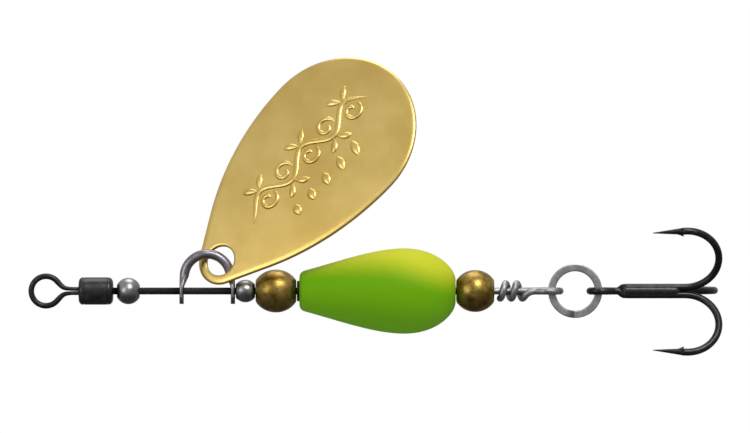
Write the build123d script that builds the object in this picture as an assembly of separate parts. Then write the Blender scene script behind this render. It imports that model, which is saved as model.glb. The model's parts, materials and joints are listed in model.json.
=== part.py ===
from build123d import *
import os
from math import acos, atan2, cos, degrees, pi, radians, sin, sqrt, tan

# An inline spinner: a wire shaft that hangs from a barrel swivel and carries a clevis with its spinning
# blade, four beads and a weighted body, and ends in a wrapped eye, a split ring and a treble hook.
# Millimetres. The origin is the centre of the line eye, +X runs down the shaft to the hook, +Z is the
# blade's side and +Y is the third hook's side. Pieces are threaded on the shaft one behind the other,
# so each one's place follows from the lengths of those before it.

BASE = (Align.CENTER, Align.CENTER, Align.MIN)

# Clearances
RUN = 0.06          # radial, between the shaft and whatever turns on it
STACK = 0.08        # axial, between neighbours on the shaft
LINK = 0.04         # between two linked rings

# Line eye and its stem
LINE_WIRE = 0.58
LINE_HOLE = 2.40    # the land that the forming pin leaves inside the eye
LINE_COIN = 0.015   # how deep that land is pressed into the round wire
LINE_FLARE = 48.0   # how steeply the eye's sides run together, degrees
LINE_BLEND = 0.55
LINE_SINK = 0.01    # how far the round legs lie inside the stem's outline
STEM_D = 0.92
STEM_SLIT = 0.14    # between the two flattened legs, before they enter the barrel
STEM_SLIT_END = 2.45
STEM_HEAD_D = 1.70
STEM_HEAD_L = 0.60
HEAD_ROUND = 0.15   # of the edges of both upset heads

# Swivel barrel
BARREL_X = 3.30
BARREL_L = 3.40
BARREL_D = 2.75
BARREL_BORE = 1.95
BARREL_LIP = 0.42   # the rolled wall at each end, which holds the heads in
BARREL_NOSE_R = 0.60
BARREL_CONE = (0.55, 0.72)  # length and depth of the tail's cone
BARREL_GROOVE = (0.12, 0.10)  # width and depth of the rolling marks
BARREL_GROOVES_AT = (0.62, 2.64)

# Shaft wire, its head, its tail eye and its wraps
SHAFT_D = 0.70
SHAFT_HEAD_D = 1.50
SHAFT_HEAD_L = 0.60
FRONT_PLAY = 0.42   # bare wire between the barrel and the front bead
FRONT_TRAVEL = 4.00  # bare wire between the front bead and the clevis
TAIL_PLAY = 0.60    # bare wire between the rear bead and the cut end of the wraps
WRAP_PITCH = 1.115
WRAP_TURNS = 2
WRAP_GAP = 0.03
WRAP_STEPS = 12     # points on each turn of the wraps
LEAD_STEPS = 8      # points on the leg that crosses over to them
TAIL_EYE_HOLE = 1.70
TAIL_FLARE = 35.0
TAIL_BLEND = 0.90
TAIL_EYE_X = 5.40   # from the rear bead's end to the centre of the eye

# Beads: length, diameter and diameter of the end flats
FRONT_BEAD = (2.23, 2.65, 1.30)
BEARING_BEAD = (1.90, 2.27, 1.35)
FRONT_BRASS_BEAD = (4.05, 4.30, 2.15)
REAR_BRASS_BEAD = (3.78, 4.20, 2.15)
BEAD_MOUTH = 0.20   # how far a bead's hole opens out at each end
BRASS_MOUTH = 0.40

# Clevis
CLEVIS_WIRE = 0.95
CLEVIS_SPAN = 4.61  # between the centrelines of the bow's two legs
CLEVIS_RISE = 1.39  # from the shaft to the centre of the bow
EAR_W = 1.65        # of the flattened wire, which stays flush with the bow outside
EAR_T = 0.43
EAR_DROP = 1.30     # from the shaft to the ear's end
EAR_TOP = 0.35      # from the shaft to where the ear starts to round into wire
NECK_LAP = 0.45     # of round wire that runs down into the flattened neck
NECK_TOP = 0.57     # side of the square that fits inside the round wire, where the neck begins

# Blade
BLADE_L = 27.9
BLADE_W = 17.2
BLADE_T = 0.45
BLADE_SIDE = 0.93874  # roundness of the sides: at 1 no straight flank is left beside the tip
BLADE_TIP_R = 2.55
BLADE_HOLE_ROOM = 2.10  # how much wider its hole is than the clevis wire that passes through
BLADE_HOLE_S = 2.42  # from the tip to the centre of the hole
BLADE_CROWN_R = 150.0  # the plate is pressed into a shallow crown
BLADE_OPEN = 47.2   # between the shaft and the blade, degrees
BLADE_TWIST = 30.0  # of the plate about its own length, so that it passes the bow, degrees
BLADE_HOLE_AT = (49.8, 0.19)  # where it hangs on the bow: degrees round it, and how far inside the wire

# Body and its liner
BODY_L = 15.60
BODY_D = 8.54
BODY_NOSE_D = 3.60
BODY_TAIL_D = 2.30
BODY_WIDEST = 10.50  # from the nose to the thickest place
BODY_CORNER = 0.45
BODY_RISE = ((0.42, 0.73), (0.72, 1))  # poles of the nose's curve, as shares of its length and radius
BODY_FALL = ((0.65, 1), (1, 0.52))     # and of the tail's
LINER_D = 2.05
LINER_NOSE = 0.25   # how far the liner stands out at the nose

# Split ring
RING_ID = 3.95
RING_BAND = 0.72
RING_COIL = 0.34
RING_COIL_GAP = 0.02
RING_EDGE_R = 0.068  # of the flat wire's edges
RING_CROSS_AT = 258.0  # where one coil crosses to the other, degrees round from +X
RING_CROSS_HALF = 10.0

# Treble hook
HOOK_WIRE = 0.72
HOOK_EYE_HOLE = 1.46
HOOK_FLARE = 38.0
HOOK_BLEND = 0.60
HOOK_NECK = 1.55    # from the centre of the eye to where its legs start to turn
HOOK_TWIST_L = 1.10  # length over which the legs turn a quarter about each other
TWIST_STEPS = 10    # spans of that turn's curve
HOOK_SHANK = 5.75   # of the straight wires past that turn
HOOK_BEND_R = 3.25
HOOK_BEND_TURN = 184.0
HOOK_POINT_L = 3.20
HOOK_TAPER_L = 2.90
HOOK_TIP_D = 0.08
POINT_STEP = 0.012  # how much thinner than the wire the ground point starts
POINT_LAP = 0.06    # how far it starts inside the wire
BARB_L = 0.95
BARB_H = 0.42
BARB_ROOT = 0.16    # how far the barb's tip leans back over the wire
BARB_T = 0.24
BRAZE_R = 0.60
BRAZE_L = 4.80
BUNDLE_GAP = 0.03   # of filler between neighbouring wires

# Places along the shaft
barrel_end = BARREL_X + BARREL_L
front_bead_x = barrel_end + FRONT_PLAY
clevis_x = front_bead_x + FRONT_BEAD[0] + FRONT_TRAVEL + CLEVIS_WIRE / 2
bow_centre = Vector(clevis_x + CLEVIS_SPAN / 2, 0, CLEVIS_RISE)
bearing_x = clevis_x + CLEVIS_SPAN + CLEVIS_WIRE / 2 + STACK
front_brass_x = bearing_x + BEARING_BEAD[0] + STACK
liner_x = front_brass_x + FRONT_BRASS_BEAD[0] + STACK
body_x = liner_x + LINER_NOSE
rear_brass_x = body_x + BODY_L + STACK
rear_end = rear_brass_x + REAR_BRASS_BEAD[0]
tail_eye = Vector(rear_end + TAIL_EYE_X, 0, 0)
tail_eye_r = (TAIL_EYE_HOLE + SHAFT_D) / 2
blade_hole = CLEVIS_WIRE + BLADE_HOLE_ROOM
ring_mean = (RING_ID + RING_BAND) / 2
ring_depth = 2 * RING_COIL + RING_COIL_GAP
hook_eye_r = (HOOK_EYE_HOLE + HOOK_WIRE) / 2


def seat(hole):
    """How far from the centre of a wire eye the near side of the split ring's band hangs, pulled tight."""
    return sqrt((hole / 2 - LINK) ** 2 - (ring_depth / 2) ** 2)


ring_centre = Vector(tail_eye.X + seat(TAIL_EYE_HOLE) + RING_ID / 2, 0, 0)
hook_eye = Vector(ring_centre.X + RING_ID / 2 + seat(HOOK_EYE_HOLE), 0, 0)
shank_r = (HOOK_WIRE + BUNDLE_GAP) / sqrt(3)
shank_x = hook_eye.X + HOOK_NECK + HOOK_TWIST_L


def wire(path, diameter):
    """A round wire along a path of tangent edges."""
    line = Wire(path)
    return sweep(Plane(origin=line @ 0, z_dir=line % 0) * Circle(diameter / 2), path=line)


def eye_path(radius, flare, blend, out_leg, back_leg, leg_end):
    """Centreline of a wire eye about the origin of the XY plane. Its two legs run out along +X at the
    distances out_leg above the axis and back_leg below it. The last leg ends where its bend does."""
    slope = radians(flare)
    trim = blend * tan(slope / 2)

    def knee(leg):
        return radius * sin(slope) + (radius * cos(slope) - leg) / tan(slope)

    first = Line((leg_end, out_leg), (knee(out_leg) + trim, out_leg))
    bend = JernArc(first @ 1, first % 1, blend, -flare)
    flank = Line(bend @ 1, (radius * sin(slope), radius * cos(slope)))
    loop = JernArc(flank @ 1, flank % 1, radius, 180 + 2 * flare)
    far = Vector(knee(back_leg), -back_leg)
    back = (far - loop @ 1).normalized()
    last_flank = Line(loop @ 1, far - back * trim)
    last_bend = JernArc(last_flank @ 1, last_flank % 1, blend, -flare)
    return [first, bend, flank, loop, last_flank, last_bend]


def turned(profile, x):
    """A solid of revolution about the shaft from a profile in X and radius."""
    return Pos(x, 0, 0) * revolve(profile, Axis.X)


def line_eye():
    radius = (LINE_HOLE + LINE_WIRE) / 2 - LINE_COIN
    leg = (STEM_D - LINE_WIRE) / 2 - LINE_SINK
    inside = BARREL_X + BARREL_LIP + STACK / 2
    path = eye_path(radius, LINE_FLARE, LINE_BLEND, leg, leg, STEM_SLIT_END + LINE_WIRE)
    path.append(Line(path[-1] @ 1, (STEM_SLIT_END + LINE_WIRE, -leg)))
    loop = Plane.XZ * wire(path, LINE_WIRE)
    loop -= Rot(X=90) * Cylinder(LINE_HOLE / 2, 2 * LINE_WIRE)
    slit = Box(STEM_SLIT_END, 2 * LINE_WIRE, STEM_SLIT, align=(Align.MIN, Align.CENTER, Align.CENTER))
    loop -= slit
    stem_l = inside - STEM_SLIT_END
    stem = Pos(STEM_SLIT_END, 0, 0) * Rot(Y=90) * Cylinder(STEM_D / 2, stem_l, align=BASE)
    head = Pos(inside, 0, 0) * Rot(Y=90) * Cylinder(STEM_HEAD_D / 2, STEM_HEAD_L, align=BASE)
    head = fillet(head.edges(), HEAD_ROUND)
    return loop + stem + head


def swivel_barrel():
    cone_l, cone_h = BARREL_CONE
    groove_w, groove_d = BARREL_GROOVE
    radius = BARREL_D / 2
    cone = [(BARREL_L - cone_l, radius), (BARREL_L, radius - cone_h), (BARREL_L, 0)]
    shell = make_face(Polyline([(0, 0), (0, radius)] + cone, close=True))
    shell = fillet(shell.vertices().sort_by(Axis.X)[:2].sort_by(Axis.Y)[-1], BARREL_NOSE_R)
    for x in BARREL_GROOVES_AT:
        shell -= Pos(x, radius) * Rectangle(groove_w, 2 * groove_d)
    cavity = Rectangle(BARREL_L - 2 * BARREL_LIP, BARREL_BORE / 2, align=Align.MIN)
    shell -= Pos(BARREL_LIP, 0) * cavity
    shell -= Rectangle(BARREL_L / 2, STEM_D / 2 + RUN, align=Align.MIN)
    shell -= Pos(BARREL_L / 2, 0) * Rectangle(BARREL_L / 2, SHAFT_D / 2 + RUN, align=Align.MIN)
    return turned(shell, BARREL_X)


def wrap_point(turn_from_start):
    """Point of the wrapped tail, by turns from where it lies under the shaft next to the eye."""
    radius = SHAFT_D + WRAP_GAP
    angle = 2 * pi * turn_from_start - pi / 2
    return Vector(wrap_x - WRAP_PITCH * turn_from_start, radius * cos(angle), radius * sin(angle))


def lead_point(share, lead_x):
    """Point of the returning leg, from beside the shaft at lead_x (0) to under it at the first wrap (1)."""
    radius = SHAFT_D + WRAP_GAP
    swing = (share**2 + share**6) / 2
    angle = pi + swing * pi / 2
    return Vector(wrap_x + (lead_x - wrap_x) * (1 - share), radius * cos(angle), radius * sin(angle))


wrap_x = rear_end + TAIL_PLAY + WRAP_PITCH * WRAP_TURNS


def shaft():
    head_x = barrel_end - BARREL_LIP - STACK / 2
    side = SHAFT_D + WRAP_GAP
    flipped = Plane(origin=tail_eye, x_dir=(-1, 0, 0), z_dir=(0, 0, -1))
    path = eye_path(tail_eye_r, TAIL_FLARE, TAIL_BLEND, 0, side, tail_eye.X - head_x)
    path = [flipped * edge for edge in path]
    lead = [lead_point(n / LEAD_STEPS, (path[-1] @ 1).X) for n in range(1, LEAD_STEPS + 1)]
    wraps = [wrap_point(n / WRAP_STEPS) for n in range(1, WRAP_STEPS * WRAP_TURNS + 1)]
    tail = Spline([path[-1] @ 1] + lead + wraps)
    head = Pos(head_x, 0, 0) * Rot(Y=-90) * Cylinder(SHAFT_HEAD_D / 2, SHAFT_HEAD_L, align=BASE)
    head = fillet(head.edges(), HEAD_ROUND)
    return wire(path + [tail], SHAFT_D) + head


def bead(size, x, mouth):
    length, diameter, flat = size
    half = length / 2 / sqrt(1 - (flat / diameter) ** 2)
    outline = Ellipse(half, diameter / 2) & Rectangle(length, diameter, align=(Align.CENTER, Align.MIN))
    hole = SHAFT_D / 2 + RUN
    outline -= Rectangle(length, hole, align=(Align.CENTER, Align.MIN))
    for side in (-1, 1):
        end = side * length / 2
        inner = end - side * mouth
        cone = Polyline((end, 0), (end, hole + mouth), (inner, hole), (inner, 0), close=True)
        outline -= make_face(cone)
    return turned(outline, x + length / 2)


def clevis():
    upright = Plane(origin=bow_centre, x_dir=(1, 0, 0), z_dir=(0, -1, 0))
    right = Line((CLEVIS_SPAN / 2, -NECK_LAP), (CLEVIS_SPAN / 2, 0))
    bow = JernArc(right @ 1, right % 1, CLEVIS_SPAN / 2, 180)
    left = Line(bow @ 1, bow @ 1 - Vector(0, NECK_LAP))
    solid = wire([upright * edge for edge in (right, bow, left)], CLEVIS_WIRE)
    for side in (-1, 1):
        leg_x = bow_centre.X + side * CLEVIS_SPAN / 2
        ear_x = leg_x + side * (CLEVIS_WIRE - EAR_T) / 2
        low = Plane(origin=(ear_x, 0, EAR_TOP)) * Rectangle(EAR_T, EAR_W)
        high = Plane(origin=(leg_x, 0, CLEVIS_RISE)) * Rectangle(NECK_TOP, NECK_TOP)
        tongue = SlotCenterToCenter(EAR_TOP + EAR_DROP - EAR_W / 2, EAR_W, rotation=90)
        tongue = Pos(0, (EAR_TOP - EAR_DROP + EAR_W / 2) / 2) * tongue
        reach = 2 * (EAR_TOP + EAR_DROP)
        tongue &= Pos(0, EAR_TOP) * Rectangle(EAR_W, reach, align=(Align.CENTER, Align.MAX))
        ear = Plane(origin=(ear_x, 0, 0), x_dir=(0, 1, 0), z_dir=(1, 0, 0)) * tongue
        solid += loft([low, high]) + extrude(ear, EAR_T / 2, both=True)
        solid -= Pos(ear_x, 0, 0) * Rot(Y=90) * Cylinder(SHAFT_D / 2 + RUN, 2 * EAR_T)
    return solid


def blade_frame():
    """Plane at the centre of the blade's hole: X along the blade, Z out of its stamped face."""
    around, inside = BLADE_HOLE_AT
    spot = CLEVIS_SPAN / 2 - inside
    hole = bow_centre + Vector(spot * cos(radians(around)), 0, spot * sin(radians(around)))
    upright = Plane(origin=hole, x_dir=(1, 0, 0), z_dir=(0, -1, 0))
    lean = Location((0, 0, 0), (0, 0, BLADE_OPEN)) * Location((0, 0, 0), (-BLADE_TWIST, 0, 0))
    return upright * Plane(lean)


def blade_outline():
    """Half of the blade's outline, above its axis, from the middle of the tip at the origin to the end."""
    end_r = BLADE_W / 2
    wide = BLADE_L - end_r
    roundest = ((wide - BLADE_TIP_R) ** 2 + end_r**2 - BLADE_TIP_R**2) / (BLADE_W - 2 * BLADE_TIP_R)
    side_r = BLADE_SIDE * roundest
    side_centre = Vector(wide, end_r - side_r)
    tip_centre = Vector(BLADE_TIP_R, 0)
    apart = tip_centre - side_centre
    normal = atan2(apart.Y, apart.X) - acos((side_r - BLADE_TIP_R) / apart.length)
    out = Vector(cos(normal), sin(normal))
    tip_end, side_start = tip_centre + out * BLADE_TIP_R, side_centre + out * side_r
    tip = CenterArc(tip_centre, BLADE_TIP_R, degrees(normal), 180 - degrees(normal))
    flank = Line(tip_end, side_start)
    side = CenterArc(side_centre, side_r, 90, degrees(normal) - 90)
    end = CenterArc((wide, 0), end_r, 0, 90)
    return [tip, flank, side, end, Line((0, 0), (BLADE_L, 0))]


def blade():
    half = make_face(Wire(blade_outline()))
    outline = Pos(-BLADE_HOLE_S, 0) * (half + mirror(half, Plane.XZ))
    middle = BLADE_L / 2 - BLADE_HOLE_S
    crown = Pos(middle, 0, -sqrt(BLADE_CROWN_R**2 - middle**2))
    shell = crown * (Sphere(BLADE_CROWN_R + BLADE_T / 2) - Sphere(BLADE_CROWN_R - BLADE_T / 2))
    plate = extrude(outline - Circle(blade_hole / 2), BLADE_L / 4, both=True) & shell
    return blade_frame() * plate


def body():
    nose, tail, widest = BODY_NOSE_D / 2, BODY_TAIL_D / 2, BODY_D / 2
    corner = (BODY_CORNER, nose + BODY_CORNER / 2)
    peak = (BODY_WIDEST, widest)
    behind = BODY_L - BODY_WIDEST
    front_poles = [(x * BODY_WIDEST, r * widest) for x, r in BODY_RISE]
    rear_poles = [(BODY_WIDEST + x * behind, r * widest) for x, r in BODY_FALL]
    rise = Bezier(corner, *front_poles, peak)
    fall = Bezier(peak, *rear_poles, (BODY_L, tail))
    lines = [
        Line((0, 0), (0, nose - BODY_CORNER)),
        Bezier((0, nose - BODY_CORNER), (0, nose), corner),
        rise,
        fall,
        Line((BODY_L, tail), (BODY_L, 0)),
        Line((BODY_L, 0), (0, 0)),
    ]
    profile = make_face(Wire(lines)) - Rectangle(BODY_L, LINER_D / 2, align=Align.MIN)
    return turned(profile, body_x)


def body_liner():
    length = body_x + BODY_L - liner_x
    bore = SHAFT_D / 2 + RUN
    return turned(Pos(0, bore) * Rectangle(length, LINER_D / 2 - bore, align=Align.MIN), liner_x)


def split_ring():
    section = RectangleRounded(RING_BAND, RING_COIL, RING_EDGE_R)
    first = RING_CROSS_AT + RING_CROSS_HALF
    lift = (RING_COIL + RING_COIL_GAP) / 2

    def station(angle, height):
        out = Vector(cos(radians(angle)), 0, sin(radians(angle)))
        along = Vector(-sin(radians(angle)), 0, cos(radians(angle)))
        return Plane(origin=ring_centre + out * ring_mean + Vector(0, height, 0), x_dir=out, z_dir=along)

    turn_axis = Axis(ring_centre, (0, -1, 0))
    front, back = [revolve(station(first, height) * section, turn_axis, 360 - 2 * RING_CROSS_HALF)
                   for height in (-lift, lift)]
    stations = [(first - 2 * RING_CROSS_HALF, -lift), (RING_CROSS_AT, 0), (first, lift)]
    cross = loft([station(angle, height) * section for angle, height in stations])
    return front + cross + back


def hook_arm(across, x_start):
    """Centreline of one hook from x_start down its shank and round to its point, out on the side across."""
    side = Plane(origin=(0, 0, 0), x_dir=(1, 0, 0), z_dir=Vector(1, 0, 0).cross(across))
    shank = Line((x_start, shank_r), (shank_x + HOOK_SHANK, shank_r))
    bend = JernArc(shank @ 1, shank % 1, HOOK_BEND_R, HOOK_BEND_TURN)
    point = Line(bend @ 1, bend @ 1 + (bend % 1) * (HOOK_POINT_L - HOOK_TAPER_L))
    return [side * edge for edge in (shank, bend, point)], side


def hook_point(arm, side):
    """The tapered point and its barb, past the end of an arm."""
    base, ahead = arm[-1] @ 1, arm[-1] % 1
    frame = Plane(origin=base, x_dir=side.z_dir, z_dir=ahead)
    start_r = HOOK_WIRE / 2 - POINT_STEP
    ground = Cone(start_r, HOOK_TIP_D / 2, HOOK_TAPER_L + POINT_LAP, align=BASE)
    taper = frame * Pos(0, 0, -POINT_LAP) * ground
    spur = Polyline((0, 0), (BARB_L, 0), (-BARB_ROOT, (HOOK_WIRE + BARB_H) / 2), close=True)
    barb = Plane(origin=base, x_dir=ahead, z_dir=side.z_dir) * extrude(make_face(spur), BARB_T / 2, both=True)
    return taper + barb


def twist_point(share, leg):
    """Point of one leg between the hook's eye (0) and its shank (1). The legs turn a quarter about each
    other, from side by side in the plane of the eye to one above the other, beside the third wire."""
    half = HOOK_WIRE / 2 + BUNDLE_GAP / 2
    ease = share**3 * (10 - 15 * share + 6 * share**2)
    angle = ease * pi / 2 + (0 if leg > 0 else pi)
    drop = -ease * shank_r / 2
    return Vector(shank_x - HOOK_TWIST_L * (1 - share), half * cos(angle) + drop, half * sin(angle))


def double_hook():
    half = HOOK_WIRE / 2 + BUNDLE_GAP / 2
    eye = eye_path(hook_eye_r, HOOK_FLARE, HOOK_BLEND, half, half, HOOK_NECK)
    eye.append(Line(eye[-1] @ 1, (HOOK_NECK, -half)))
    path = [Pos(hook_eye.X, 0, 0) * edge for edge in eye]
    points = []
    for leg in (1, -1):
        turn = Spline([twist_point(n / TWIST_STEPS, leg) for n in range(TWIST_STEPS + 1)])
        arm, side = hook_arm(Vector(0, -0.5, leg * sqrt(3) / 2), shank_x)
        points.append(hook_point(arm, side))
        path = path + [turn] + arm if leg < 0 else arm[::-1] + [turn] + path
    solid = wire(path, HOOK_WIRE)
    return solid + points[0] + points[1]


def single_hook():
    arm, side = hook_arm(Vector(0, 1, 0), shank_x + (HOOK_SHANK - BRAZE_L) / 2)
    return wire(arm, HOOK_WIRE) + hook_point(arm, side)


def hook_braze():
    section = Circle(BRAZE_R)
    for angle in (0, 120, 240):
        section -= Rot(Z=angle) * Pos(shank_r, 0) * Circle(HOOK_WIRE / 2)
    start = Plane(origin=(shank_x + (HOOK_SHANK - BRAZE_L) / 2, 0, 0), x_dir=(0, 1, 0), z_dir=(1, 0, 0))
    return extrude(start * section, BRAZE_L)


pieces = {
    "line_eye": line_eye(),
    "swivel_barrel": swivel_barrel(),
    "shaft": shaft(),
    "front_bead": bead(FRONT_BEAD, front_bead_x, BEAD_MOUTH),
    "clevis": clevis(),
    "blade": blade(),
    "bearing_bead": bead(BEARING_BEAD, bearing_x, BEAD_MOUTH),
    "front_brass_bead": bead(FRONT_BRASS_BEAD, front_brass_x, BRASS_MOUTH),
    "body": body(),
    "body_liner": body_liner(),
    "rear_brass_bead": bead(REAR_BRASS_BEAD, rear_brass_x, BRASS_MOUTH),
    "split_ring": split_ring(),
    "double_hook": double_hook(),
    "single_hook": single_hook(),
    "hook_braze": hook_braze(),
}
os.makedirs("parts", exist_ok=True)
for name, piece in pieces.items():
    export_step(piece, f"parts/{name}.step")
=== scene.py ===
import bmesh
import bpy
import json
from math import acos, atan2, cos, pi, radians, sin, sqrt
from mathutils import Matrix, Vector
from mathutils.geometry import interpolate_bezier


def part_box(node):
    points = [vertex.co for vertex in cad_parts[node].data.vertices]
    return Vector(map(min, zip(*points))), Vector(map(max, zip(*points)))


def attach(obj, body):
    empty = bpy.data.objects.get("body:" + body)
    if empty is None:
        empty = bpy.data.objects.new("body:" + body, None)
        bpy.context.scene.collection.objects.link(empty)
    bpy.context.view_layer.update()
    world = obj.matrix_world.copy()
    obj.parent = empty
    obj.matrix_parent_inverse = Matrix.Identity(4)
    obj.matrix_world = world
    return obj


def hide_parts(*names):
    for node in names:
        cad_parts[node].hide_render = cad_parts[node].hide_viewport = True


# An inline spinner. Shapes are drawn in millimetres in the frame's own axes: +X from the line eye to the
# hook, +Z the blade's side, -Y the viewer's side. Each mesh is brought to metres when it is finished.
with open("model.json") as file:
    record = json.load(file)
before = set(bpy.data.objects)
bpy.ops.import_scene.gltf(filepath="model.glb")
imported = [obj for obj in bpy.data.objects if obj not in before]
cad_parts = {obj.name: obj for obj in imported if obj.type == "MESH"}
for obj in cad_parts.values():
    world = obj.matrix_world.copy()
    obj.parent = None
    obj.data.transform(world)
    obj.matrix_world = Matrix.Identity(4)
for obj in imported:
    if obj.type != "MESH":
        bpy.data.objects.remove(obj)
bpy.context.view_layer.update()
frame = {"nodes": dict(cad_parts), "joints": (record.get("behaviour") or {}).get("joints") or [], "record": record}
MM = 0.001
BODY_OF = {node: body for body, nodes in frame["record"]["behaviour"]["bodies"].items() for node in nodes}
PIVOT = {joint["name"]: Vector(joint["pos_m"]) / MM for joint in frame["joints"] if "pos_m" in joint}


def span(node):
    """Lowest and highest corner of a node of the frame, in millimetres."""
    low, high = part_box(node)
    return low / MM, high / MM


# ---------------------------------------------------------------- finishes

class Signal:
    """One output in a material's nodes. Sums and products of it add the nodes that work them out."""

    def __init__(self, finish, socket):
        self.finish = finish
        self.socket = socket

    def work(self, operation, *values):
        inputs = dict(enumerate(values))
        return self.finish.node("ShaderNodeMath", {"operation": operation}, inputs)

    def __add__(self, other):
        return self.work("ADD", self, other)

    def __sub__(self, other):
        return self.work("SUBTRACT", self, other)

    def __rsub__(self, other):
        return self.work("SUBTRACT", other, self)

    def __mul__(self, other):
        return self.work("MULTIPLY", self, other)

    __radd__ = __add__
    __rmul__ = __mul__

    def ramp(self, start, end):
        """0 before start, 1 after end and smooth between them."""
        settings = {"interpolation_type": "SMOOTHSTEP"}
        inputs = {"Value": self, "From Min": start, "From Max": end}
        return self.finish.node("ShaderNodeMapRange", settings, inputs)


class Finish:
    """A material. What is the same all over it is given to its shader at once; the rest is linked later."""

    def __init__(self, name, **constants):
        self.material = bpy.data.materials.new(name)
        self.material.use_nodes = True
        self.nodes = self.material.node_tree.nodes
        self.shader = self.nodes["Principled BSDF"]
        for socket, value in constants.items():
            self.shader.inputs[socket.replace("_", " ")].default_value = value
        self.place = self.node("ShaderNodeTexCoord", {}, {}, "Object")

    def node(self, kind, settings, inputs, output=0):
        made = self.nodes.new(kind)
        for setting, value in settings.items():
            setattr(made, setting, value)
        for socket, value in inputs.items():
            if isinstance(value, Signal):
                self.material.node_tree.links.new(value.socket, made.inputs[socket])
            else:
                made.inputs[socket].default_value = value
        return Signal(self, made.outputs[output])

    def axis(self, name):
        """Distance along one of the object's axes, in millimetres."""
        return self.node("ShaderNodeSeparateXYZ", {}, {"Vector": self.place}, name) * (1 / MM)

    def grain(self, size, detail=3.0, stretch=(1, 1, 1), roughness=0.55):
        """Soft random variation from 0 to 1 with features of a size in millimetres, drawn out by stretch."""
        scale = [1 / (size * MM * times) for times in stretch]
        settings = {"vector_type": "POINT"}
        place = self.node("ShaderNodeMapping", settings, {"Vector": self.place, "Scale": scale})
        inputs = {"Vector": place, "Scale": 1.0, "Detail": detail, "Roughness": roughness}
        return self.node("ShaderNodeTexNoise", {}, inputs, 0)

    def pits(self, size):
        """Distance to the nearest of many scattered points, 0 at each and about 1 between them."""
        inputs = {"Vector": self.place, "Scale": 1 / (size * MM)}
        return self.node("ShaderNodeTexVoronoi", {"feature": "F1"}, inputs, "Distance")

    def between(self, share, first, second):
        """Colour that goes from the first to the second as share goes from 0 to 1."""
        settings = {"data_type": "RGBA"}
        return self.node("ShaderNodeMix", settings, {0: share, 6: first, 7: second}, 2)

    def feed(self, socket, signal):
        self.material.node_tree.links.new(signal.socket, self.shader.inputs[socket])

    def relief(self, height, depth):
        """Raises the surface by depth millimetres where height is 1."""
        inputs = {"Height": height, "Distance": depth * MM, "Strength": 1.0}
        self.feed("Normal", self.node("ShaderNodeBump", {}, inputs))


def grey(level):
    return (level, level, level, 1)


CLEVIS_SHADE = (0.17, 0.155, 0.18, 1)
CLEVIS_LIGHT = (0.29, 0.27, 0.30, 1)
DEEP_GOLD = (0.66, 0.46, 0.130, 1)
PALE_GOLD = (0.75, 0.55, 0.185, 1)
DENTED_GOLD = (0.50, 0.34, 0.09, 1)
BROWNED_BRASS = (0.17, 0.100, 0.012, 1)
RUBBED_BRASS = (0.42, 0.290, 0.080, 1)
SCRATCHED_BRASS = (0.07, 0.04, 0.008, 1)
# painted shade: the body's green as it is darkened low down, where less light falls
PAINTED_SHADE_GREEN = (0.085, 0.240, 0.0003, 1)
UPPER_GREEN = (0.115, 0.305, 0.001, 1)
SPECKED_GREEN = (0.05, 0.16, 0.001, 1)
SPRAYED_YELLOW = (0.46, 0.49, 0.018, 1)


def black_nickel(name, dark, light, smooth):
    """Black plating over steel: nearly even, a little lighter where handling has rubbed it."""
    finish = Finish(name, Metallic=0.85, Specular_IOR_Level=0.5)
    rubbed = finish.grain(0.9, 4).ramp(0.5, 0.75)
    fine = finish.grain(0.05, 2)
    drawn = finish.grain(0.06, 2, stretch=(12, 1, 1))
    finish.feed("Base Color", finish.between(rubbed * 0.7 + fine * 0.3, grey(dark), grey(light)))
    finish.feed("Roughness", smooth + rubbed * 0.10 + fine * 0.12)
    finish.relief(drawn * 0.7 + fine * 0.3, 0.006)
    return finish.material


def bare_steel(name, dark, light, smooth, draw=9, depth=0.008):
    """Bare steel: soft grey patches, and lines and dark specks depth millimetres deep. The lines are drawn
    out along X by draw."""
    finish = Finish(name, Metallic=1.0)
    cloud = finish.grain(0.8, 4)
    drawn = finish.grain(0.07, 3, stretch=(draw, 1, 1))
    specks = 1 - finish.pits(0.16).ramp(0.10, 0.22)
    tone = finish.between(cloud.ramp(0.3, 0.7), dark, light)
    finish.feed("Base Color", finish.between(specks * 0.35, tone, grey(0.12)))
    finish.feed("Roughness", smooth + cloud * 0.12 + drawn * 0.10)
    finish.relief(drawn - specks * 0.5, depth)
    return finish.material


def shaft_wire():
    """One wire in two finishes: blackened from the barrel back, bright from inside the body to its tail."""
    finish = Finish("shaft_wire", Metallic=0.95)
    fine = finish.grain(0.06, 3, stretch=(10, 1, 1))
    cloud = finish.grain(0.7, 3)
    low, high = span("body")
    middle = (low.x + high.x) / 2
    bare = finish.axis("X").ramp(middle - 1, middle + 1)
    black = finish.between(fine, grey(0.030), grey(0.085))
    bright = finish.between(cloud.ramp(0.3, 0.7), grey(0.20), grey(0.36))
    finish.feed("Base Color", finish.between(bare, black, bright))
    finish.feed("Roughness", 0.30 + bare * 0.08 + cloud * 0.12)
    finish.relief(fine, 0.008)
    return finish.material


def gold_plate():
    """Satin gold plating over brass sheet: faint rolling lines, cloudy patches and tiny dents."""
    finish = Finish("gold_plate", Metallic=1.0)
    cloud = finish.grain(5.0, 4)
    rolled = finish.grain(0.10, 2, stretch=(1, 1, 14))
    dents = 1 - finish.pits(1.3).ramp(0.02, 0.10)
    tone = finish.between(cloud.ramp(0.3, 0.7), DEEP_GOLD, PALE_GOLD)
    finish.feed("Base Color", finish.between(dents * 0.3, tone, DENTED_GOLD))
    finish.feed("Roughness", 0.27 + cloud * 0.08 + rolled * 0.05)
    finish.relief(rolled * 0.5 + finish.grain(0.5, 3) - dents * 0.6, 0.006)
    return finish.material


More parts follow.
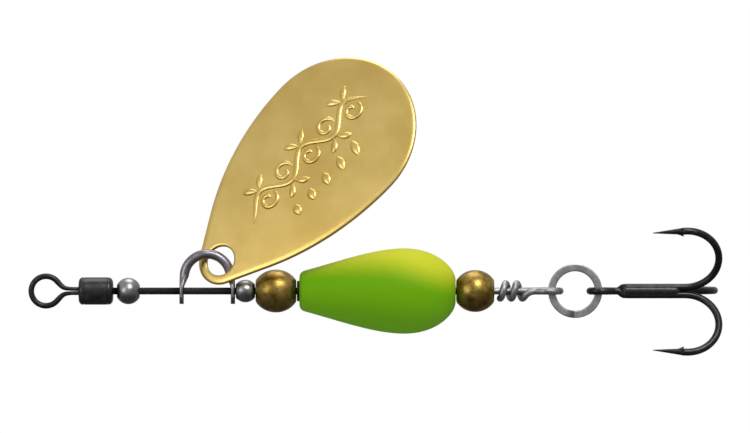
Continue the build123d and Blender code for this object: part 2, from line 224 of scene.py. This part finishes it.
def aged_brass():
    """Brass that has browned, brighter where it has been rubbed and dark in its scratches and pits."""
    finish = Finish("aged_brass", Metallic=1.0)
    cloud = finish.grain(1.1, 5, roughness=0.65)
    fine = finish.grain(0.12, 3)
    scratches = 1 - finish.grain(0.16, 2, stretch=(1, 6, 5)).ramp(0.27, 0.37)
    pits = 1 - finish.pits(0.30).ramp(0.08, 0.18)
    tone = finish.between(cloud.ramp(0.33, 0.68), BROWNED_BRASS, RUBBED_BRASS)
    marks = scratches * 0.5 + pits * 0.5
    finish.feed("Base Color", finish.between(marks, tone, SCRATCHED_BRASS))
    finish.feed("Roughness", 0.24 + cloud * 0.20 + marks * 0.15)
    finish.relief(cloud * 0.5 + fine * 0.3 - marks * 0.6, 0.020)
    return finish.material


def two_tone_paint():
    """Matt paint, sprayed green all over and then yellow from above and behind, so that the edge is soft. Lower
    down and towards the nose the green is painted darker, as painted shade.
    """
    finish = Finish("two_tone_paint", Specular_IOR_Level=0.08)
    low, high = span("body")
    height = finish.axis("Z") * (1 / high.z)
    back = finish.axis("X").ramp(low.x + 0.35 * (high.x - low.x), high.x)
    mist = finish.grain(0.35, 4) - 0.5
    level = height + back * back * 0.42 + mist * 0.10
    # painted shade: the green goes darker towards the bottom and the nose of the body
    green_with_painted_shade = finish.between(level.ramp(-0.9, 0.35), PAINTED_SHADE_GREEN, UPPER_GREEN)
    sprayed = finish.between(level.ramp(0.22, 0.98), green_with_painted_shade, SPRAYED_YELLOW)
    specks = 1 - finish.pits(0.45).ramp(0.03, 0.09)
    finish.feed("Base Color", finish.between(specks * 0.25, sprayed, SPECKED_GREEN))
    finish.feed("Roughness", 0.50 + finish.grain(0.25, 2) * 0.16)
    finish.relief(finish.grain(0.30, 3) * 0.8 + finish.grain(0.06, 2) * 0.2, 0.012)
    return finish.material


def black_tube():
    """Extruded black plastic with fine lines along it."""
    finish = Finish("black_tube", Specular_IOR_Level=0.2)
    lines = finish.grain(0.08, 3, stretch=(10, 1, 1))
    finish.feed("Base Color", finish.between(lines, grey(0.003), grey(0.012)))
    finish.feed("Roughness", 0.42 + lines * 0.2)
    finish.relief(lines, 0.010)
    return finish.material


def brazed_joint():
    """Brazing metal under black plating: pooled and slightly lumpy."""
    finish = Finish("braze", Metallic=0.85)
    lumps = finish.grain(0.45, 4)
    finish.feed("Base Color", finish.between(lumps, grey(0.020), grey(0.050)))
    finish.feed("Roughness", 0.28 + lumps * 0.16)
    finish.relief(lumps, 0.020)
    return finish.material


FINISHES = {
    "black_wire": black_nickel("black_wire", 0.020, 0.060, 0.27),
    "black_barrel": black_nickel("black_barrel", 0.030, 0.075, 0.26),
    "black_hook": black_nickel("black_hook", 0.020, 0.060, 0.24),
    "steel_bead": bare_steel("steel_bead", grey(0.18), grey(0.34), 0.20),
    "clevis_steel": bare_steel("clevis_steel", CLEVIS_SHADE, CLEVIS_LIGHT, 0.24),
    "ring_steel": bare_steel("ring_steel", grey(0.30), grey(0.42), 0.30, draw=1, depth=0.003),
    "shaft_wire": shaft_wire(),
    "gold_plate": gold_plate(),
    "aged_brass": aged_brass(),
    "green_yellow_paint": two_tone_paint(),
    "black_tube": black_tube(),
    "braze": brazed_joint(),
}

# ---------------------------------------------------------------- making and placing


def finished(name, shape, node, slot, crease=40):
    """Makes a drawn shape a piece of the model that stands for a node. Edges sharper than crease show."""
    bmesh.ops.scale(shape, vec=(MM, MM, MM), verts=shape.verts)
    bmesh.ops.recalc_face_normals(shape, faces=shape.faces)
    mesh = bpy.data.meshes.new(name)
    shape.to_mesh(mesh)
    shape.free()
    return placed(name, mesh, node, slot, crease)


def placed(name, mesh, node, slot, crease):
    """Puts a mesh into the model in place of a node: smooth, in its finish and riding on the node's body."""
    mesh.shade_smooth()
    mesh.set_sharp_from_angle(angle=radians(crease))
    piece = bpy.data.objects.new(name, mesh)
    bpy.context.scene.collection.objects.link(piece)
    mesh.materials.clear()
    mesh.materials.append(FINISHES[slot])
    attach(piece, BODY_OF[node])
    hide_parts(node)
    return piece


def smoothed(name, node, slot, crease=35):
    """A piece with a node's own shape, its facets joined and shaded as the smooth surface they stand for."""
    shape = bmesh.new()
    shape.from_mesh(frame["nodes"][node].data)
    bmesh.ops.remove_doubles(shape, verts=shape.verts, dist=1e-3 * MM)
    mesh = bpy.data.meshes.new(name)
    shape.to_mesh(mesh)
    shape.free()
    return placed(name, mesh, node, slot, crease)


def smoothstep(share):
    """0 to 1 as share goes from 0 to 1, level at both ends."""
    share = min(max(share, 0), 1)
    return share * share * (3 - 2 * share)


def lathe(outline, steps=128):
    """A shape turned about the shaft's line from a closed outline of (along, radius) points."""
    shape = bmesh.new()
    verts = [shape.verts.new((x, 0, radius)) for x, radius in outline]
    edges = [shape.edges.new(pair) for pair in zip(verts, verts[1:] + verts[:1])]
    turn = {"cent": (0, 0, 0), "axis": (1, 0, 0), "angle": 2 * pi, "steps": steps, "use_merge": True}
    bmesh.ops.spin(shape, geom=verts + edges, **turn)
    return shape


def rounded(outline, corners, radius, segments=4):
    """An outline with some of its corners, given by their places in the list, rounded by short curves."""
    points = []
    for index, corner in enumerate(outline):
        here = Vector(corner)
        if index not in corners:
            points.append(here)
            continue
        before = Vector(outline[index - 1])
        after = Vector(outline[(index + 1) % len(outline)])
        start = here + (before - here).normalized() * radius
        end = here + (after - here).normalized() * radius
        handles = start.lerp(here, 0.55), end.lerp(here, 0.55)
        points += interpolate_bezier(start, *handles, end, segments + 1)
    return [(point.x, point.y) for point in points]


def along(points, up):
    """Frames on a line of points, Z ahead and Y towards up, carried from each to the next without twist."""
    frames = []
    for before, here, after in zip(points[:1] + points, points, points[1:] + points[-1:]):
        ahead = (after - before).normalized()
        across = up.cross(ahead).normalized()
        up = ahead.cross(across)
        frames.append(Matrix.Translation(here) @ Matrix((across, up, ahead)).transposed().to_4x4())
    return frames


def strand(shape, stations, sides=24):
    """Skins a row of sections and closes its ends. Each section is its frame, its half width, its half height
    and its roundness: 1 is an ellipse, and towards 0 it squares up."""
    rings = []
    for place, width, height, roundness in stations:
        ring = bmesh.ops.create_circle(shape, segments=sides, radius=1)["verts"]
        for vert in ring:
            x, y = (abs(part) ** roundness * (1 if part > 0 else -1) for part in vert.co.xy)
            vert.co = place @ Vector((x * width, y * height, 0))
        rings.append(list({edge for vert in ring for edge in vert.link_edges}))
    for first, second in zip(rings, rings[1:]):
        bmesh.ops.bridge_loops(shape, edges=first + second)
    for ring in (rings[0], rings[-1]):
        bmesh.ops.contextual_create(shape, geom=ring)


# ---------------------------------------------------------------- beads, barrel and body

SHAFT_BORE = 0.41  # radius of the hole wherever the shaft runs in one
BEAD_STEPS = 48


def bead(name, node, slot, flat, mouth):
    """A barrel-shaped bead between two flats, whose hole opens out to a mouth at each end."""
    low, high = span(node)
    half = (high.x - low.x) / 2
    middle = (high.x + low.x) / 2
    reach = half / sqrt(1 - (flat / high.z / 2) ** 2)
    along_crown = [middle + half * (2 * step / BEAD_STEPS - 1) for step in range(BEAD_STEPS + 1)]
    outline = [(x, high.z * sqrt(1 - ((x - middle) / reach) ** 2)) for x in along_crown]
    outline += [(high.x, SHAFT_BORE + mouth), (high.x - mouth, SHAFT_BORE)]
    outline += [(low.x + mouth, SHAFT_BORE), (low.x, SHAFT_BORE + mouth)]
    outline = rounded(outline, (0, BEAD_STEPS, BEAD_STEPS + 1, BEAD_STEPS + 4), 0.06)
    finished(name, lathe(outline), node, slot, crease=50)


def swivel_barrel():
    """Turned barrel, rolled in over the two wire heads at its ends, with a fine rolling mark by each."""
    low, high = span("swivel_barrel")
    nose_bore, inside, wall = 0.52, 0.975, 0.42
    mark_depth, tail_step = 0.04, 0.08
    marks = []
    for mark_x in (low.x + 0.52, high.x - 0.50):
        marks += [(mark_x - 0.07, high.z), (mark_x - 0.02, high.z - mark_depth)]
        marks += [(mark_x + 0.02, high.z - mark_depth), (mark_x + 0.07, high.z)]
    outline = [(low.x, nose_bore), (low.x, high.z)] + marks
    outline += [(high.x, high.z - tail_step), (high.x, SHAFT_BORE)]
    outline += [(high.x - wall, SHAFT_BORE), (high.x - wall, inside)]
    outline += [(low.x + wall, inside), (low.x + wall, nose_bore)]
    outline = rounded(outline, (1, 10), 0.40, segments=10)
    finished("barrel_shell", lathe(outline), "swivel_barrel", "black_barrel", crease=35)


def weighted_body():
    """Cast teardrop body. The paint pools to a soft rim at its nose."""
    low, high = span("body")
    length, widest = high.x - low.x, high.z
    nose, tail, corner = 1.80, 1.15, 0.45
    peak_x = 10.50
    bore = span("body_liner")[1].z + 0.01

    def curve(start, first, second, end, steps):
        flat = [Vector(point) for point in (start, first, second, end)]
        return [(low.x + point.x, point.y) for point in interpolate_bezier(*flat, steps)]

    start = (corner, nose + corner / 2)
    peak = (peak_x, widest)
    behind = length - peak_x
    outline = curve((0, nose - corner), (0, nose - 0.1), (corner / 3, nose + 0.1), start, 9)[:-1]
    outline += curve(start, (0.42 * peak_x, 0.73 * widest), (0.72 * peak_x, widest), peak, 49)[:-1]
    outline += curve(peak, (peak_x + 0.65 * behind, widest), (length, 0.52 * widest), (length, tail), 33)
    outline += [(high.x, bore), (low.x, bore)]
    finished("painted_body", lathe(outline, steps=160), "body", "green_yellow_paint", crease=45)


# ---------------------------------------------------------------- line eye and split ring

LINE_WIRE_R = 0.29
LINE_LEG = (0.20, 0.33)  # half thickness and half width of a pressed leg
LINE_NECK = 42  # degrees from the stem at which the loop turns into a leg
LINE_STEPS = 96
LEGS_MEET = (2.55, 0.215)  # how far back the legs lie together, and half their spacing there
PRESS_START = 1.2  # how far back the wire starts to flatten
PRESS_RUN = 1.1  # length over which it does
LINE_HEAD_T = 0.60


def line_eye():
    """A wire loop whose two legs run together and are pressed flat against each other, side by side."""
    low, high = span("line_eye")
    radius = high.z - LINE_WIRE_R
    turn = radians(LINE_NECK)
    start = Vector((radius * cos(turn), radius * sin(turn)))
    ahead = Vector((sin(turn), -cos(turn)))
    end = Vector(LEGS_MEET)
    leg = interpolate_bezier(start, start + ahead * 0.85, end - Vector((0.80, -0.04)), end, 24)
    head_x = high.x - LINE_HEAD_T / 2
    leg = [Vector((point.x, 0, point.y)) for point in leg] + [Vector((head_x, 0, LINE_LEG[0]))]
    loop = [turn + (2 * pi - 2 * turn) * step / LINE_STEPS for step in range(1, LINE_STEPS)]
    loop = [Vector((radius * cos(angle), 0, radius * sin(angle))) for angle in loop]
    points = leg[::-1] + loop + [Vector((point.x, 0, -point.z)) for point in leg]
    stations = []
    for place in along(points, Vector((0, 1, 0))):
        pressed = min(max((place.translation.x - PRESS_START) / PRESS_RUN, 0), 1)
        thick = LINE_WIRE_R + (LINE_LEG[0] - LINE_WIRE_R) * pressed
        wide = LINE_WIRE_R + (LINE_LEG[1] - LINE_WIRE_R) * pressed
        stations.append((place, thick, wide, 1 - 0.15 * pressed))
    shape = bmesh.new()
    strand(shape, stations)
    head = Matrix.Translation((head_x, 0, 0)) @ Matrix.Rotation(radians(90), 4, "Y")
    size = {"radius1": high.y, "radius2": high.y, "depth": LINE_HEAD_T, "segments": 48, "cap_ends": True}
    bmesh.ops.create_cone(shape, matrix=head, **size)
    finished("line_eye_wire", shape, "line_eye", "black_wire", crease=45)


RING_SECTION = (0.36, 0.17)  # half width and half thickness of the flat wire
RING_LIFT = 0.18  # of each coil from the middle
RING_START = 268  # degrees round, and so on for the next two
RING_SWEEP = 700
RING_CROSSING = 20


def split_ring():
    """Two coils of flat wire with softly rounded edges, one lying on the other, and a crossing between."""
    centre = PIVOT["hook_swing"]
    radius = (span("split_ring")[1].x - span("split_ring")[0].x) / 2 - RING_SECTION[0]
    points = []
    for turned in range(0, RING_SWEEP + 1, 4):
        angle = radians(RING_START + turned)
        lift = RING_LIFT * (2 * smoothstep((turned - (360 - RING_CROSSING)) / RING_CROSSING) - 1)
        points.append(centre + Vector((radius * cos(angle), lift, radius * sin(angle))))
    shape = bmesh.new()
    stations = [(place, *RING_SECTION, 0.32) for place in along(points, Vector((0, 1, 0)))]
    strand(shape, stations, sides=40)
    finished("flat_wire_ring", shape, "split_ring", "ring_steel", crease=60)


# ---------------------------------------------------------------- clevis

BOW_WIRE = 0.475  # radius
EAR_HALF = (0.215, 0.825)  # half thickness and half width
EAR_FOOT = -1.30  # lowest point of the ears
EAR_TOP = 0.15  # where the pressing is full
NECK_TOP = 1.75  # where it starts
LEG_STEP = 0.05


def bow_radius():
    """Radius of the middle of the clevis wire round the bow."""
    low, high = span("clevis")
    return (high.x - low.x) / 2 - BOW_WIRE


def clevis():
    """A wire bow whose ends are pressed flat, flush with the outside."""
    centre = PIVOT["blade_swing"]
    radius = bow_radius()
    side = Vector((0, 1, 0))
    shape = bmesh.new()
    arc = [radians(180 * step / 72) for step in range(73)]
    points = [centre + Vector((-radius * cos(angle), 0, radius * sin(angle))) for angle in arc]
    legs = [EAR_FOOT + LEG_STEP * step for step in range(int((centre.z - EAR_FOOT) / LEG_STEP) + 1)]
    left = [Vector((centre.x - radius, 0, height)) for height in legs]
    right = [Vector((centre.x + radius, 0, height)) for height in reversed(legs)]
    stations = []
    for place in along(left + points + right, side):
        at = place.translation
        pressed = smoothstep((NECK_TOP - at.z) / (NECK_TOP - EAR_TOP))
        thick = BOW_WIRE + (EAR_HALF[0] - BOW_WIRE) * pressed
        wide = BOW_WIRE + (EAR_HALF[1] - BOW_WIRE) * pressed
        drop = at.z - EAR_FOOT
        if drop < EAR_HALF[1]:
            wide = sqrt(EAR_HALF[1] ** 2 - (EAR_HALF[1] - drop) ** 2) + 0.02
        outward = 1 if at.x > centre.x else -1
        shift = Matrix.Translation((outward * (BOW_WIRE - thick) * min(1, pressed * 4), 0, 0))
        stations.append((shift @ place, thick, wide, 1 - 0.45 * pressed))
    strand(shape, stations, sides=32)
    finished("clevis_bow", shape, "clevis", "clevis_steel", crease=40)


# ---------------------------------------------------------------- blade

BLADE_HALF_T = 0.225
BLADE_CROWN_R = 150.0
BLADE_TIP_R = 2.55
BLADE_SIDE_R = 27.0
BLADE_WIDE_R = 8.60
BLADE_LENGTH = 27.9
HOLE_FROM_TIP = 2.42
HOLE_R = 1.525
HUNG_AT = 49.8  # degrees round the bow, up from the hook's side
HOLE_INSIDE = 0.19  # from the middle of the bow's wire to the hole's centre, inwards
OPEN_ANGLE = 47.2
TWIST_ANGLE = 30.0
EDGE_STEP = 0.22  # between points of the outline
FACE_STEPS = 24  # from the rolled edge to the hole
# Distance in from the outline, and height above the middle of the sheet: the rolled edge and the hole's lip
ROLLED_EDGE = [(0.0, 0.04), (0.03, 0.10), (0.08, 0.15), (0.18, 0.19), (0.32, 0.213), (0.50, BLADE_HALF_T)]
HOLE_LIP = [(0.30, BLADE_HALF_T), (0.14, BLADE_HALF_T), (0.05, 0.19), (0.0, 0.12)]


def blade_place():
    """Frame at the centre of the blade's hole: X along the blade, Z out of its stamped face."""
    angle = radians(HUNG_AT)
    hole = PIVOT["blade_swing"] + Vector((cos(angle), 0, sin(angle))) * (bow_radius() - HOLE_INSIDE)
    upright = Matrix.Rotation(radians(90), 4, "X")
    lean = Matrix.Rotation(radians(OPEN_ANGLE), 4, "Z") @ Matrix.Rotation(radians(-TWIST_ANGLE), 4, "X")
    return Matrix.Translation(hole) @ upright @ lean


def crown(x, y):
    """Height of the middle of the sheet, which is pressed into a shallow crown."""
    middle = BLADE_LENGTH / 2 - HOLE_FROM_TIP
    rise = sqrt(BLADE_CROWN_R**2 - (x - middle) ** 2 - y * y)
    return rise - sqrt(BLADE_CROWN_R**2 - middle**2)


def blade_edge():
    """Points round the blade's outline with their inward normals, evenly spaced: tip, side, end, side."""
    wide = BLADE_LENGTH - BLADE_WIDE_R
    side_centre = Vector((wide, BLADE_WIDE_R - BLADE_SIDE_R))
    tip_centre = Vector((BLADE_TIP_R, 0))
    apart = tip_centre - side_centre
    turn = atan2(apart.y, apart.x) - acos((BLADE_SIDE_R - BLADE_TIP_R) / apart.length)
    out = Vector((cos(turn), sin(turn)))
    tip_end, side_start = tip_centre + out * BLADE_TIP_R, side_centre + out * BLADE_SIDE_R
    pieces = [
        (tip_centre, BLADE_TIP_R, pi, turn),
        (side_centre, BLADE_SIDE_R, turn, pi / 2),
        (Vector((wide, 0)), BLADE_WIDE_R, pi / 2, 0),
    ]
    upper = []
    for centre, radius, start, end in pieces:
        count = max(4, round(abs(end - start) * radius / EDGE_STEP))
        for step in range(count):
            angle = start + (end - start) * step / count
            normal = Vector((cos(angle), sin(angle)))
            upper.append((centre + normal * radius, -normal))
        if radius == BLADE_TIP_R:
            flank = round((side_start - tip_end).length / EDGE_STEP)
            upper += [(tip_end.lerp(side_start, step / flank), -out) for step in range(flank)]
    upper.append((Vector((BLADE_LENGTH, 0)), Vector((-1, 0))))
    lower = [(Vector((p.x, -p.y)), Vector((n.x, -n.y))) for p, n in upper[-2:0:-1]]
    shift = Vector((HOLE_FROM_TIP, 0))
    return [(point - shift, normal) for point, normal in upper + lower]


def spiral(centre, radius, start, turns, inner):
    """Points of a scroll that winds inwards from its outer radius to its inner one."""
    count = int(60 * abs(turns))
    points = []
    for step in range(count + 1):
        share = step / count
        angle = start + 2 * pi * turns * share
        size = radius * (1 - share) + inner * share
        points.append(Vector((centre[0] + size * cos(angle), centre[1] + size * sin(angle))))
    return points


WAVES = 5
WAVE_LENGTH = 3.05
WAVE_HEIGHT = 0.95
FIRST_WAVE = (6.2, 0.85)  # along and across the blade from the hole
LEAF_SIZE = (1.25, 1.05)  # out to the side and up
FIRST_DROP = (9.0, -2.85)
DROP_SPACING = 2.1


def ornament():
    """Strokes stamped on the face: a running scroll with a curl in each hollow and two leaves on each crest,
    and a row of drops beside it. Each is a line of points, its greatest half width, and whether it swells
    like a leaf."""
    start_x, stem_y = FIRST_WAVE
    run = [start_x - 1.4 + 0.1 * step for step in range(172)]
    stem = [Vector((x, stem_y + WAVE_HEIGHT * sin(pi * (x - start_x) / WAVE_LENGTH))) for x in run]
    strokes = [(stem, 0.30, False)]
    for index in range(WAVES):
        side = 1 if index % 2 == 0 else -1
        middle = start_x + WAVE_LENGTH * (index + 0.5)
        curl = spiral((middle, stem_y - side * 0.42), 1.08, side * 0.3, -side * 1.05, inner=0.30)
        strokes.append((curl, 0.25, False))
        crest = stem_y + side * (WAVE_HEIGHT + 0.17)
        for lean in (-1, 1):
            shares = [step / 16 for step in range(17)]
            leaf = [(0.15 + LEAF_SIZE[0] * share, LEAF_SIZE[1] * sin(share * pi / 2)) for share in shares]
            leaf = [Vector((middle + lean * x, crest + side * y)) for x, y in leaf]
            strokes.append((leaf, 0.36, True))
    for index in range(WAVES):
        size = 1.25 + 0.12 * index
        steps = [size * (step / 12 - 0.5) for step in range(13)]
        drop_x = FIRST_DROP[0] + DROP_SPACING * index
        drop = [Vector((drop_x + step * 0.35, FIRST_DROP[1] + step)) for step in steps]
        strokes.append((drop, 0.48, True))
    return strokes


def on_face(points, height):
    """Flat points brought up to a height above the middle of the crowned sheet."""
    return [Vector((point.x, point.y, crown(point.x, point.y) + height)) for point in points]


def face_rings(side):
    """Rings of points from the outline to the hole on one face: side is 1 for the stamped face, -1 behind."""
    edge = blade_edge()
    out = [point.normalized() for point, _ in edge]

    def inset(distance):
        return [point + normal * distance for point, normal in edge]

    def round_hole(gap):
        return [direction * (HOLE_R + gap) for direction in out]

    rings = [on_face(inset(distance), side * height) for distance, height in ROLLED_EDGE]
    flat_from, flat_to = inset(ROLLED_EDGE[-1][0]), round_hole(HOLE_LIP[0][0])
    for step in range(1, FACE_STEPS):
        share = (step / FACE_STEPS) ** 0.8
        ring = [outer.lerp(inner, share) for outer, inner in zip(flat_from, flat_to)]
        rings.append(on_face(ring, side * BLADE_HALF_T))
    return rings + [on_face(round_hole(gap), side * height) for gap, height in HOLE_LIP]


def blade():
    """Gold plate: a satin face that rolls over softly in the last half millimetre, a hole with worn lips, and
    the ornament standing a little proud of the stamped face."""
    shape = bmesh.new()
    loops = []
    for ring in face_rings(1) + face_rings(-1)[::-1]:
        verts = [shape.verts.new(point) for point in ring]
        loops.append([shape.edges.new(pair) for pair in zip(verts, verts[1:] + verts[:1])])
    for first, second in zip(loops, loops[1:] + loops[:1]):
        bmesh.ops.bridge_loops(shape, edges=first + second)
    for points, width, leaf in ornament():
        line = on_face(points, BLADE_HALF_T - 0.03)
        last = len(line) - 1
        stations = []
        for index, place in enumerate(along(line, Vector((0, 0, 1)))):
            end = min(index, last - index) / last
            taper = sin(pi * end) ** 0.8 + 0.05 if leaf else min(1, 0.3 + 6 * end)
            stations.append((place, width * taper, 0.05 + 0.13 * taper, 1))
        strand(shape, stations, sides=16)
    bmesh.ops.transform(shape, matrix=blade_place(), verts=shape.verts)
    finished("gold_blade", shape, "blade", "gold_plate", crease=50)


# ---------------------------------------------------------------- the treble's brazing

BRAZE_R = 0.67
BRAZE_AHEAD = 1.05  # how far it has crept towards the eye, between the legs
BRAZE_THINS = (0.45, 0.60)  # length over which it thins out at its front and its back


def brazing():
    """Brazing metal run in between the treble's three shanks and smooth over them, thinner at its ends."""
    low, high = span("hook_braze")
    first_x = low.x - BRAZE_AHEAD
    length = high.x - first_x
    stations = []
    steps = [length * step / 60 for step in range(61)]
    points = [Vector((first_x + step, 0, 0)) for step in steps]
    for step, place in zip(steps, along(points, Vector((0, 0, 1)))):
        front = sin(min(step / BRAZE_THINS[0], 1) * pi / 2)
        back = sin(min((length - step) / BRAZE_THINS[1], 1) * pi / 2)
        uneven = 0.006 * sin(3.1 * step) + 0.004 * sin(7.3 * step)
        radius = BRAZE_R * (0.55 + 0.45 * sqrt(front * back)) + uneven
        stations.append((place, radius, radius, 1))
    shape = bmesh.new()
    strand(shape, stations, sides=48)
    finished("brazing_metal", shape, "hook_braze", "braze", crease=60)


# ---------------------------------------------------------------- all the pieces

line_eye()
swivel_barrel()
smoothed("shaft_and_wraps", "shaft", "shaft_wire")
bead("grey_bead", "front_bead", "steel_bead", 1.30, 0.20)
clevis()
blade()
bead("small_bearing_bead", "bearing_bead", "steel_bead", 1.35, 0.20)
bead("brass_bead_ahead", "front_brass_bead", "aged_brass", 2.15, 0.40)
weighted_body()
smoothed("liner_tube", "body_liner", "black_tube")
bead("brass_bead_behind", "rear_brass_bead", "aged_brass", 2.15, 0.40)
split_ring()
smoothed("double_hook_wire", "double_hook", "black_hook")
smoothed("third_hook_wire", "single_hook", "black_hook")
brazing()

# ---------------------------------------------------------------- floor, light and camera


LURE_MIDDLE = (0.033, 0, 0.005)
FLOOR_Z = -0.026
FLOOR_SIZE = (0.12, 0.10)
SKY_STRENGTH = 0.62
SKY_BELOW, SKY_ABOVE = 0.16, 1.0
SKY_BAND = (0.15, 0.75)  # share of the height over which one turns into the other


def floor():
    """A plain pale sheet, low enough for the blade to turn above it."""
    shape = bmesh.new()
    bmesh.ops.create_grid(shape, x_segments=1, y_segments=1, size=0.5)
    bmesh.ops.scale(shape, vec=(*FLOOR_SIZE, 1), verts=shape.verts)
    bmesh.ops.translate(shape, vec=(LURE_MIDDLE[0], 0, FLOOR_Z), verts=shape.verts)
    mesh = bpy.data.meshes.new("floor")
    shape.to_mesh(mesh)
    shape.free()
    sheet = bpy.data.objects.new("floor", mesh)
    bpy.context.scene.collection.objects.link(sheet)
    paper = Finish("floor_paper", Roughness=0.8)
    paper.feed("Base Color", paper.between(paper.grain(2.0, 3), grey(0.86), grey(0.90)))
    mesh.materials.append(paper.material)
    sheet.visible_glossy = False


def lamp(name, place, size, power):
    """A round soft light aimed at the middle of the lure."""
    light = bpy.data.lights.new(name, "AREA")
    light.shape = "DISK"
    light.size = size
    light.energy = power
    lamp_object = bpy.data.objects.new(name, light)
    bpy.context.scene.collection.objects.link(lamp_object)
    lamp_object.location = place
    aim = Vector(LURE_MIDDLE) - Vector(place)
    lamp_object.rotation_euler = aim.to_track_quat("-Z", "Y").to_euler()


def surroundings():
    """Plain white behind the lure, and a softer room, light above and darker below, that lights it."""
    world = bpy.data.worlds.new("studio")
    bpy.context.scene.world = world
    world.use_nodes = True
    nodes, links = world.node_tree.nodes, world.node_tree.links
    seen = nodes["Background"]
    seen.inputs["Color"].default_value = grey(1.0)
    seen.inputs["Strength"].default_value = 1.0
    lit = nodes.new("ShaderNodeBackground")
    lit.inputs["Strength"].default_value = SKY_STRENGTH
    ramp = nodes.new("ShaderNodeValToRGB")
    ramp.color_ramp.elements[0].position = SKY_BAND[0]
    ramp.color_ramp.elements[0].color = grey(SKY_BELOW)
    ramp.color_ramp.elements[1].position = SKY_BAND[1]
    ramp.color_ramp.elements[1].color = grey(SKY_ABOVE)
    split = nodes.new("ShaderNodeSeparateXYZ")
    coordinates = nodes.new("ShaderNodeTexCoord")
    links.new(coordinates.outputs["Generated"], split.inputs["Vector"])
    height = nodes.new("ShaderNodeMath")
    height.operation = "MULTIPLY_ADD"
    height.inputs[1].default_value = 0.5
    height.inputs[2].default_value = 0.5
    links.new(split.outputs["Z"], height.inputs[0])
    links.new(height.outputs[0], ramp.inputs["Fac"])
    links.new(ramp.outputs["Color"], lit.inputs["Color"])
    path = nodes.new("ShaderNodeLightPath")
    mix = nodes.new("ShaderNodeMixShader")
    links.new(path.outputs["Is Camera Ray"], mix.inputs["Fac"])
    links.new(lit.outputs["Background"], mix.inputs[1])
    links.new(seen.outputs["Background"], mix.inputs[2])
    links.new(mix.outputs["Shader"], nodes["World Output"].inputs["Surface"])


def camera():
    """A long lens square on to the lure's side, as wide as the lure with a small margin."""
    view_centre = Vector((0.0329, 0, 0.00745))
    view_width, distance = 0.075, 0.4167
    lens = bpy.data.cameras.new("camera")
    lens.sensor_width = 36
    lens.lens = lens.sensor_width * distance / view_width
    lens.clip_start = 0.01
    eye = bpy.data.objects.new("camera", lens)
    bpy.context.scene.collection.objects.link(eye)
    eye.location = view_centre + Vector((0, -distance, 0))
    eye.rotation_euler = (radians(90), 0, 0)
    bpy.context.scene.camera = eye


floor()
surroundings()
lamp("key", (0.12, -0.26, 0.26), size=0.16, power=0.85)
lamp("fill", (-0.20, -0.25, 0.06), size=0.20, power=0.25)
lamp("top", (0.03, 0.10, 0.35), size=0.25, power=0.55)
camera()
bpy.context.scene.view_settings.view_transform = "Standard"
